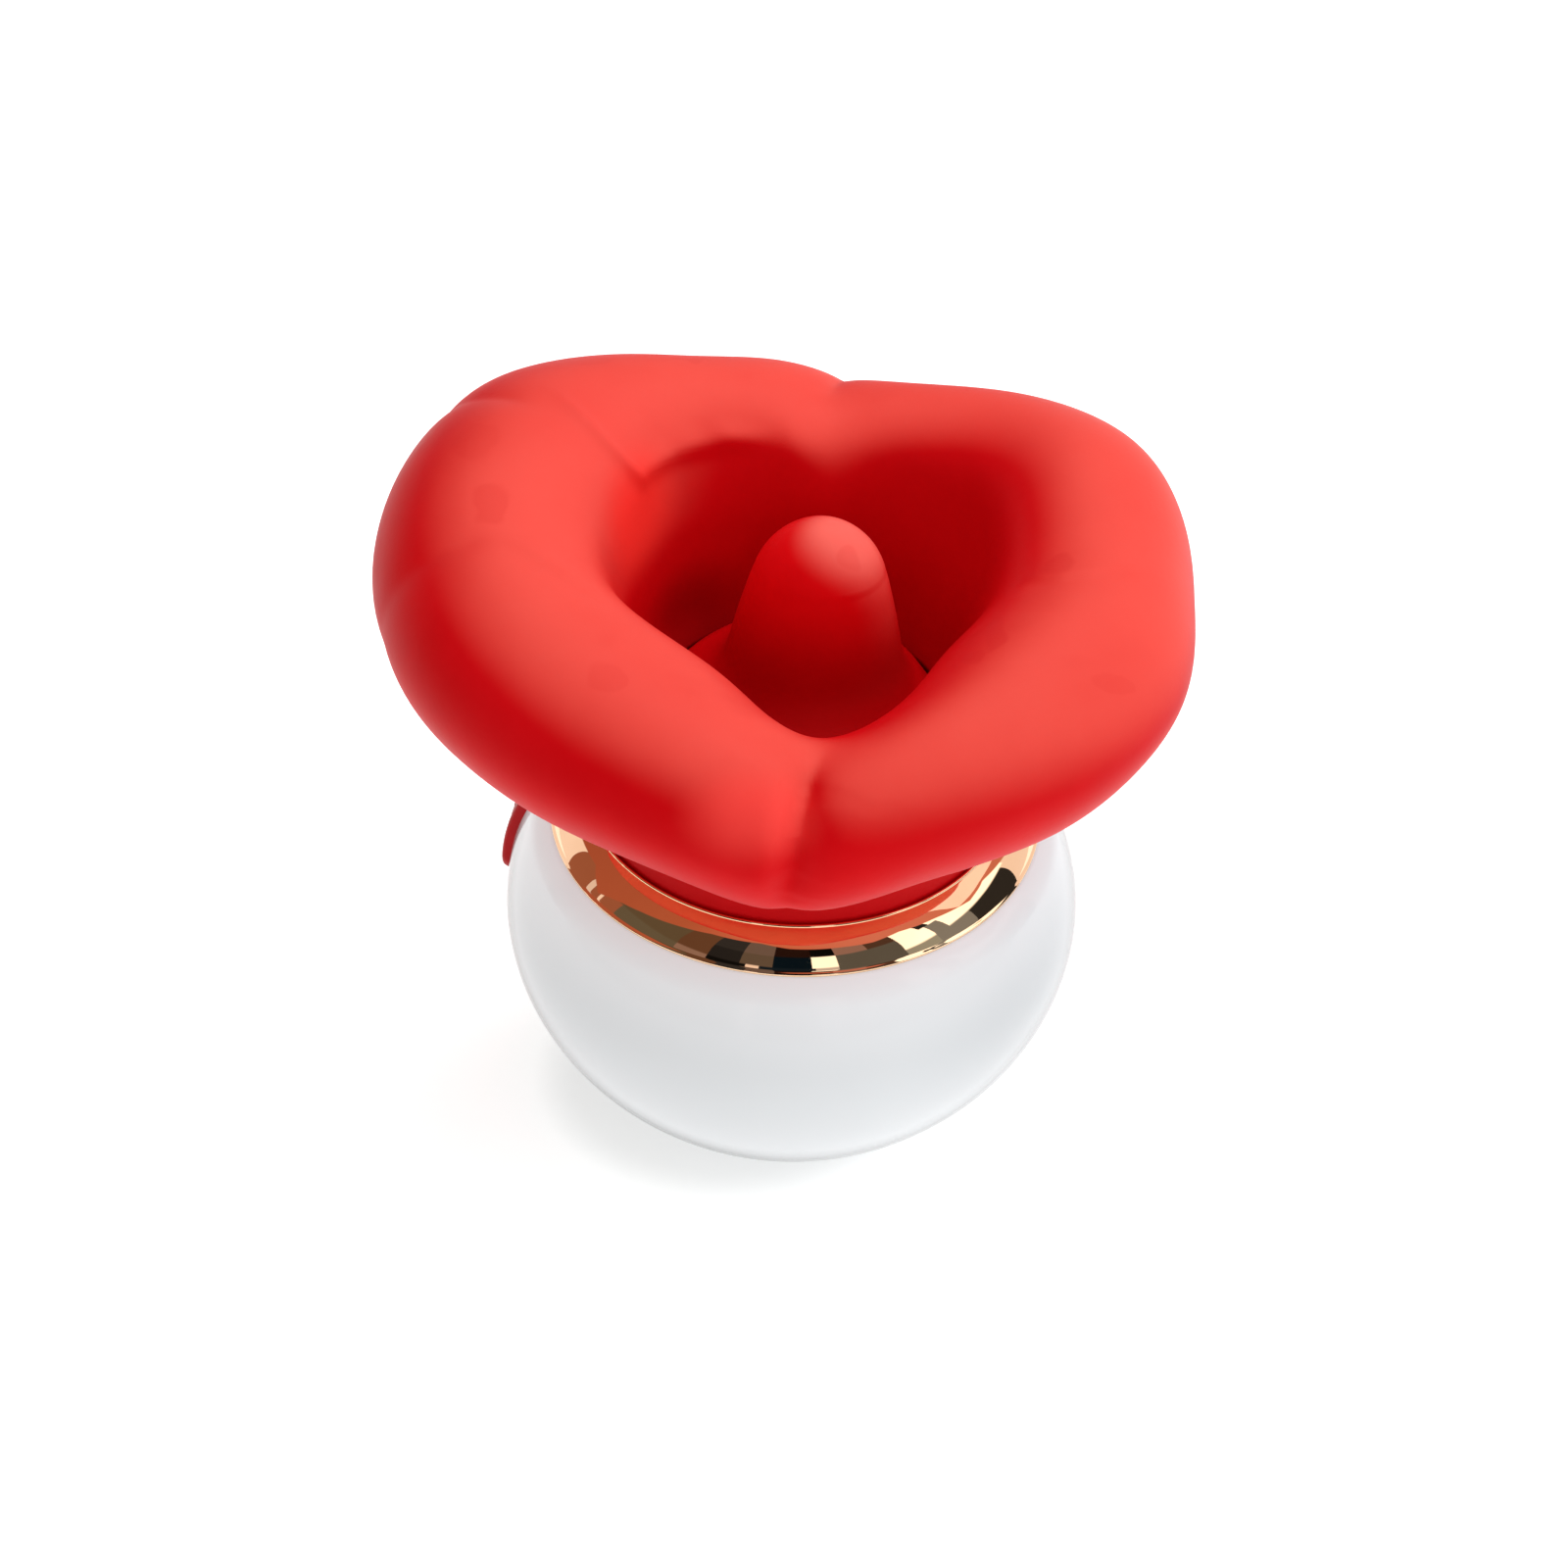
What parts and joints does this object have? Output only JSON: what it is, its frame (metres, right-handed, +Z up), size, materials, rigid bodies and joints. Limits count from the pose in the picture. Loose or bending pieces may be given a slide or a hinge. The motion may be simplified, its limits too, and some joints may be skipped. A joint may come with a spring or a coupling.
{
  "type": "lip-shaped hand massager",
  "caption": "Free-standing hand massager with a soft lip-shaped cup round a swinging tongue, a gilt collar and a glossy egg-shaped base with a side keypad.",
  "frame": {"origin": "centre of the flat resting face, on the axis of the collar and base", "axes": "+Z up along the collar's axis, -Y towards the front where the lower lip dips, +X to the object's right as seen from the front"},
  "size_m": [0.0818, 0.0702, 0.0753],
  "materials": {
    "red_silicone": "satin silicone with a faint bloom",
    "white_gloss": "high gloss, lacquered",
    "rose_gilt": "mirror plated, rose gold tint",
    "black_rubber": "matte",
    "steel": "turned and plated",
    "frame_plastic": "moulded, fine texture",
    "neck_plastic": "moulded, satin",
    "acetal": "smooth acetal",
    "sintered_metal": "sintered",
    "board_green": "solder mask",
    "chip_black": "moulded",
    "cell_foil": "pouch foil under blue film",
    "lead_pvc": "smooth sleeve",
    "led_lens": "clear yellowish resin"
  },
  "bodies": {
    "housing": {"front_shell": "white_gloss", "rear_shell": "white_gloss", "seam_gasket": "black_rubber", "foot_pad": "red_silicone", "base_screws": "steel", "collar_ring": "rose_gilt", "lip_cup": "red_silicone", "neck_frame": "neck_plastic", "neck_seal": "black_rubber", "neck_screws": "steel", "inner_frame": "frame_plastic", "swing_motor": "steel", "motor_clamp": "frame_plastic", "clamp_screws": "steel", "pivot_pin": "steel", "pivot_washers": "steel", "vibration_motor": "steel", "battery_cell": "cell_foil", "battery_pad": "black_rubber", "battery_leads": "lead_pvc", "main_board": "board_green", "board_parts": "chip_black", "board_screws": "steel", "keypad_panel": "red_silicone", "key_board": "board_green", "tact_switches": "chip_black", "status_led": "led_lens", "charge_contacts": "rose_gilt", "charge_board": "board_green", "charge_magnet": "steel"},
    "tongue": {"tongue_cover": "red_silicone", "tongue_arm": "frame_plastic"},
    "crank": {"crank_disc": "acetal", "crank_pin": "steel", "motor_shaft": "steel"},
    "vibration_rotor": {"eccentric_weight": "sintered_metal", "vibration_shaft": "steel"},
    "power_button": {"power_button": "red_silicone"},
    "mode_button": {"mode_button": "red_silicone"}
  },
  "joints": [
    {"name": "tongue_swing", "type": "hinge", "parent": "housing", "child": "tongue", "pos_m": [0, 0, 0.041], "axis": [1, 0, 0], "range_deg": [-10, 10]},
    {"name": "crank_spin", "type": "hinge", "parent": "housing", "child": "crank", "pos_m": [0, 0, 0.0244], "axis": [0, 0, 1], "continuous": true},
    {"name": "vibration_spin", "type": "hinge", "parent": "housing", "child": "vibration_rotor", "pos_m": [0.0175, 0, 0.0213], "axis": [0, 0, 1], "continuous": true},
    {"name": "power_press", "type": "slide", "parent": "housing", "child": "power_button", "axis": [0.901, -0.2927, -0.3202], "range_m": [0, 0.0006], "stiffness_N_per_m": 300},
    {"name": "mode_press", "type": "slide", "parent": "housing", "child": "mode_button", "axis": [0.901, -0.2927, -0.3202], "range_m": [0, 0.0006], "stiffness_N_per_m": 300}
  ]
}
